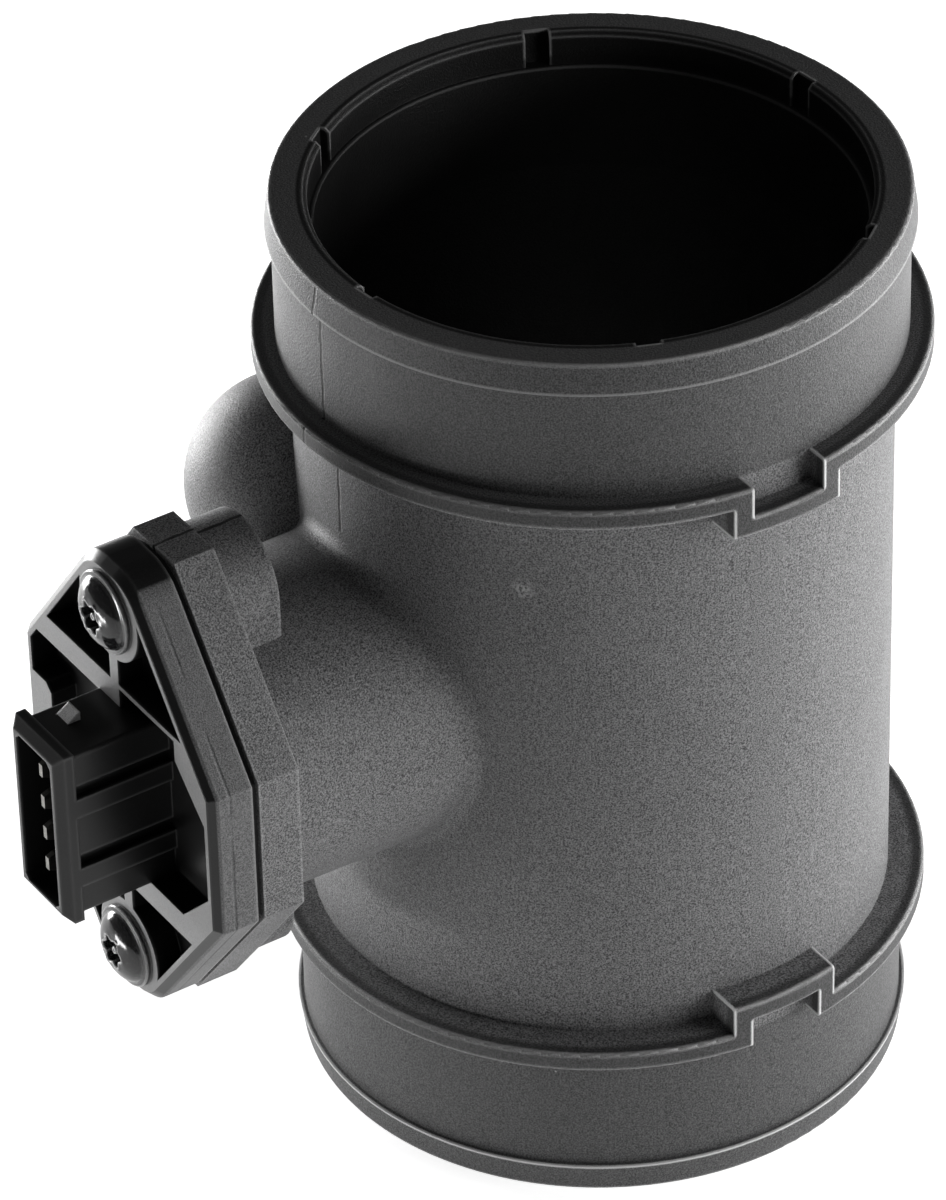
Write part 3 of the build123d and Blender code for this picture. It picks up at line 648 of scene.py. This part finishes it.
def woven_wires(anchor, level):
    """Points and quads of the wires, which end where they meet a circle of radius anchor.

    Wire i lies along x at y = i pitch and swings up and down by lift cos(pi x / pitch + pi i);
    the wires along y swing the other way, so each passes over and under in turn. Each wire is
    a tube about that line, with flat ends, in millimetres.
    """
    pitch, lift, wire_radius = 2.0, 0.12, 0.12
    steps, sides = 72, 6
    count = int(anchor / pitch)
    number = np.arange(-count, count + 1)[:, None]
    along = np.linspace(-1, 1, steps) * np.sqrt(anchor ** 2 - (number * pitch) ** 2)
    swing = lift * np.cos(np.pi * (along / pitch + number))
    turn = np.linspace(0, 2 * np.pi, sides, endpoint=False)
    a = along[..., None] + 0 * turn
    b = number[..., None] * pitch + wire_radius * np.cos(turn) + 0 * a
    up = wire_radius * np.sin(turn)
    along_x = np.stack([a, b, level + swing[..., None] + up], axis=-1)
    along_y = np.stack([b, a, level - swing[..., None] + up], axis=-1)
    points = np.concatenate([along_x, along_y])
    last = (steps - 1) * sides
    ends = [[0, 1, 2, 3], [0, 3, 4, 5],
            [last + 3, last + 2, last + 1, last], [last + 5, last + 4, last + 3, last]]
    wire = np.concatenate([grid_faces(steps, sides), ends])
    starts = np.arange(len(points))[:, None, None] * steps * sides
    return points.reshape(-1, 3), (wire + starts).reshape(-1, 4)


def make_wire_cloth():
    """Woven wire disc of the inlet, in a flat pressed rim.

    The rim is a rectangle with small chamfers, turned about the tube's axis, and holds the
    ends of the wires.
    """
    low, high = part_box("inlet_screen")[0] / MM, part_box("inlet_screen")[1] / MM
    rim_width, wire_hold, bevel, sides = 2.4, 0.8, 0.08, 144
    rim_outer, rim_inner = high[0], high[0] - rim_width
    points, quads = woven_wires(rim_inner + wire_hold, (low[2] + high[2]) / 2)
    section = np.array([
        (rim_inner + bevel, low[2]), (rim_outer - bevel, low[2]), (rim_outer, low[2] + bevel),
        (rim_outer, high[2] - bevel), (rim_outer - bevel, high[2]), (rim_inner + bevel, high[2]),
        (rim_inner, high[2] - bevel), (rim_inner, low[2] + bevel),
    ])
    turn = np.linspace(0, 2 * np.pi, sides, endpoint=False)[:, None]
    rim = np.stack([section[:, 0] * np.cos(turn), section[:, 0] * np.sin(turn),
                    section[:, 1] + 0 * turn], axis=-1)
    rim_quads = grid_faces(sides, len(section), joined=True) + len(points)
    make_piece("wire_cloth", np.concatenate([points, rim.reshape(-1, 3)]) * MM,
               np.concatenate([quads, rim_quads]), screen_steel, "inlet_screen")


make_screw("upper_flange_screw", "upper_screw", 1)
make_screw("lower_flange_screw", "lower_screw", -1)
make_wire_cloth()


# ---- Floor
def floor_material():
    """White floor: a camera or a shiny surface sees it white, with a faint shadow."""
    material, tree, surface = new_material("white floor")
    surface.inputs["Base Color"].default_value = (*grey(0.8), 1)
    surface.inputs["Roughness"].default_value = 0.9
    surface.inputs["Emission Color"].default_value = (*grey(1), 1)
    rays = add(tree, "ShaderNodeLightPath")
    seen = calculate(tree, "MAXIMUM", rays.outputs["Is Camera Ray"], rays.outputs["Is Glossy Ray"])
    tree.links.new(ramp(tree, seen, 0.0, 1.0, 0.34, 0.8), surface.inputs["Emission Strength"])
    return material


def make_floor():
    """Flat square floor: x and y on an even grid, z a hair under the tube's lower rim."""
    size, steps, drop = 2.4, 24, 0.05 * MM
    line = np.linspace(-size / 2, size / 2, steps + 1)
    x, y = np.meshgrid(line, line)
    points = np.stack([x.ravel(), y.ravel(), np.full(x.size, -drop)], axis=1)
    corner = np.arange(steps)[:, None] * (steps + 1) + np.arange(steps)[None, :]
    corner = corner.ravel()
    faces = np.stack([corner, corner + 1, corner + steps + 2, corner + steps + 1], axis=1)
    mesh = bpy.data.meshes.new("floor")
    mesh.from_pydata(points.tolist(), [], faces.tolist())
    mesh.materials.append(floor_material())
    floor = bpy.data.objects.new("floor", mesh)
    bpy.context.scene.collection.objects.link(floor)


make_floor()


# ---- Light
def make_world():
    """White to the camera; for light and mirrors an even, dim room."""
    world = bpy.data.worlds.new("studio")
    bpy.context.scene.world = world
    world.use_nodes = True
    tree = world.node_tree
    tree.nodes.clear()
    out = add(tree, "ShaderNodeOutputWorld")
    rays = add(tree, "ShaderNodeLightPath")
    background = add(tree, "ShaderNodeBackground", Color=(*grey(1), 1))
    tree.links.new(ramp(tree, rays.outputs["Is Camera Ray"], 0.0, 1.0, 0.07, 1.0),
                   background.inputs["Strength"])
    tree.links.new(background.outputs["Background"], out.inputs["Surface"])


def direction(azimuth, elevation):
    """Unit vector from the object; azimuth 0 is on the -Y side and turns towards +X."""
    turn, rise = math.radians(azimuth), math.radians(elevation)
    return Vector((math.sin(turn) * math.cos(rise), -math.cos(turn) * math.cos(rise),
                   math.sin(rise)))


def soft_box(name, azimuth, distance, width, height, watts, rise=0):
    """A rectangular lamp that faces the object, on the floor or raised by an angle.

    The camera doesn't see the lamp itself.
    """
    away = direction(azimuth, rise)
    light = bpy.data.lights.new(name, "AREA")
    light.shape = "RECTANGLE"
    light.size = width
    light.size_y = height
    light.energy = watts
    lamp = bpy.data.objects.new(name, light)
    bpy.context.scene.collection.objects.link(lamp)
    lamp.location = away * distance + Vector((0, 0, height / 2))
    lamp.rotation_euler = away.to_track_quat("Z", "Y").to_euler()
    lamp.visible_camera = False


make_world()
view_azimuth = -32.6
soft_box("right", view_azimuth + 104, distance=0.42, width=0.5, height=0.16, watts=2.5)
soft_box("left", view_azimuth - 133, distance=0.42, width=0.26, height=0.13, watts=2.4)
soft_box("front", view_azimuth + 68, distance=0.8, width=0.3, height=0.16, watts=2.4, rise=14)
soft_box("low", view_azimuth - 72, distance=0.3, width=0.12, height=0.02, watts=0.22)


# ---- Camera
def make_camera():
    """Camera on a line at the given azimuth and elevation, rolled a little about that line."""
    target = Vector((-13.76, 8.80, 67.97)) * MM
    elevation = 36.335
    distance = 951.3 * MM
    roll = -1.509
    lens = 215.0
    turn, twist = math.radians(view_azimuth), math.radians(roll)
    back = direction(view_azimuth, elevation)
    right = Vector((math.cos(turn), math.sin(turn), 0))
    up = back.cross(right)
    across = right * math.cos(twist) + up * math.sin(twist)
    upward = up * math.cos(twist) - right * math.sin(twist)
    camera = bpy.data.objects.new("camera", bpy.data.cameras.new("camera"))
    camera.data.lens = lens
    camera.data.sensor_width = 36.0
    camera.data.sensor_fit = "AUTO"
    camera.data.clip_start = 0.05
    camera.matrix_world = Matrix.Translation(target + back * distance) @ Matrix(
        (across, upward, back)).transposed().to_4x4()
    bpy.context.scene.collection.objects.link(camera)
    bpy.context.scene.camera = camera


make_camera()
bpy.context.scene.view_settings.view_transform = "Standard"
